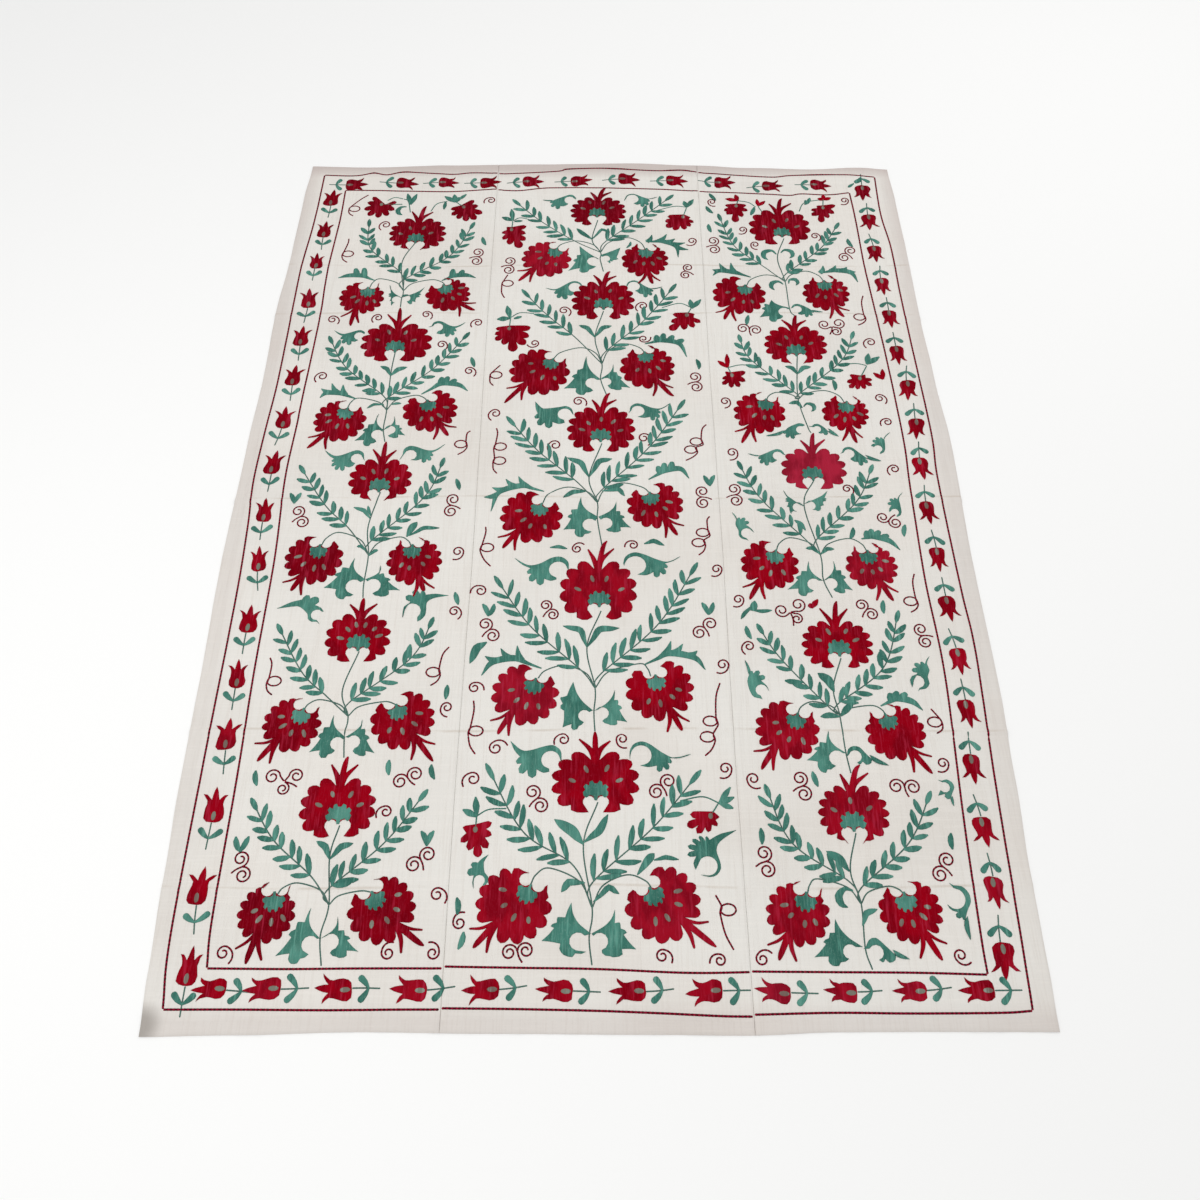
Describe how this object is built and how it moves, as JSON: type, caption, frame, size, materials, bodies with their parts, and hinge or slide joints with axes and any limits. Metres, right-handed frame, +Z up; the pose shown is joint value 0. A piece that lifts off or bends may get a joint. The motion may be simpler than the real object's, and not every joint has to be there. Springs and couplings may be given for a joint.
{
  "type": "suzani embroidered textile",
  "caption": "Rectangular cotton cloth of joined loom widths, hemmed all round and embroidered with flowers, lying flat as a cover, throw or hanging.",
  "frame": {"origin": "middle of the cloth's box, on the floor under the cloth", "axes": "+X across the three strips, +Y along the strips from the near hem to the far hem, +Z up out of the embroidered face"},
  "size_m": [1.5486, 2.1236, 0.0044],
  "materials": {
    "cotton_left": "off-white plain-weave cotton with crimson and teal chain stitch",
    "cotton_middle": "off-white plain-weave cotton with crimson and teal chain stitch",
    "cotton_right": "off-white plain-weave cotton with crimson and teal chain stitch"
  },
  "bodies": {
    "root": {"panel_left": "cotton_left", "panel_middle": "cotton_middle", "panel_right": "cotton_right"}
  },
  "joints": []
}
